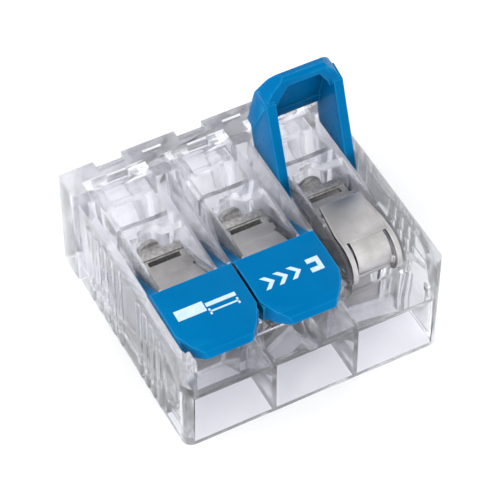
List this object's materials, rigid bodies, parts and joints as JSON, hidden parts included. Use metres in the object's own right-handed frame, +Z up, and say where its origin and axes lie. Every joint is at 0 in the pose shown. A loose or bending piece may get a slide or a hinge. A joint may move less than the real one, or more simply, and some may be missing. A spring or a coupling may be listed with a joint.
{
  "type": "lever wire connector",
  "caption": "Clear push-in wire connector: a row of blue levers lifts steel clamp springs off a shared current bar so that wires can be clamped side by side.",
  "frame": {"origin": "centre of the underside, on the surface the connector rests on", "axes": "+X along the row of ports from port 1 to port 3, +Y from the wire entries to the rear cover, +Z up"},
  "size_m": [0.019, 0.0182, 0.0156],
  "materials": {
    "clear_plastic": "clear polished polycarbonate",
    "blue_plastic": "satin moulded",
    "spring_steel": "smooth rolled strip",
    "tinned_copper": "matt tin plating over copper"
  },
  "bodies": {
    "connector_body": {"housing": "clear_plastic", "rear_cover": "clear_plastic", "current_bar": "tinned_copper", "spring_foot_1": "spring_steel", "spring_foot_2": "spring_steel", "spring_foot_3": "spring_steel"},
    "lever_1": {"lever_1": "blue_plastic"},
    "spring_1": {"clamp_spring_1": "spring_steel"},
    "lever_2": {"lever_2": "blue_plastic"},
    "spring_2": {"clamp_spring_2": "spring_steel"},
    "lever_3": {"lever_3": "blue_plastic"},
    "spring_3": {"clamp_spring_3": "spring_steel"}
  },
  "joints": [
    {"name": "lever_1_hinge", "type": "hinge", "parent": "connector_body", "child": "lever_1", "pos_m": [-0.00597, 0.00245, 0.0035], "axis": [-1, 0, 0], "range_deg": [0, 76]},
    {"name": "spring_1_lift", "type": "hinge", "parent": "connector_body", "child": "spring_1", "pos_m": [-0.00597, -0.00495, 0.0066], "axis": [1, 0, 0], "range_deg": [0, 15]},
    {"name": "lever_2_hinge", "type": "hinge", "parent": "connector_body", "child": "lever_2", "pos_m": [0, 0.00245, 0.0035], "axis": [-1, 0, 0], "range_deg": [0, 76]},
    {"name": "spring_2_lift", "type": "hinge", "parent": "connector_body", "child": "spring_2", "pos_m": [0, -0.00495, 0.0066], "axis": [1, 0, 0], "range_deg": [0, 15]},
    {"name": "lever_3_hinge", "type": "hinge", "parent": "connector_body", "child": "lever_3", "pos_m": [0.00597, 0.00245, 0.0035], "axis": [-1, 0, 0], "range_deg": [-76, 0]},
    {"name": "spring_3_lift", "type": "hinge", "parent": "connector_body", "child": "spring_3", "pos_m": [0.00597, -0.00495, 0.0066], "axis": [1, 0, 0], "range_deg": [-15, 0]}
  ],
  "couplings": [
    {"joint": "spring_1_lift", "follows": "lever_1_hinge", "ratio": 0.19737},
    {"joint": "spring_2_lift", "follows": "lever_2_hinge", "ratio": 0.19737},
    {"joint": "spring_3_lift", "follows": "lever_3_hinge", "ratio": 0.19737}
  ]
}
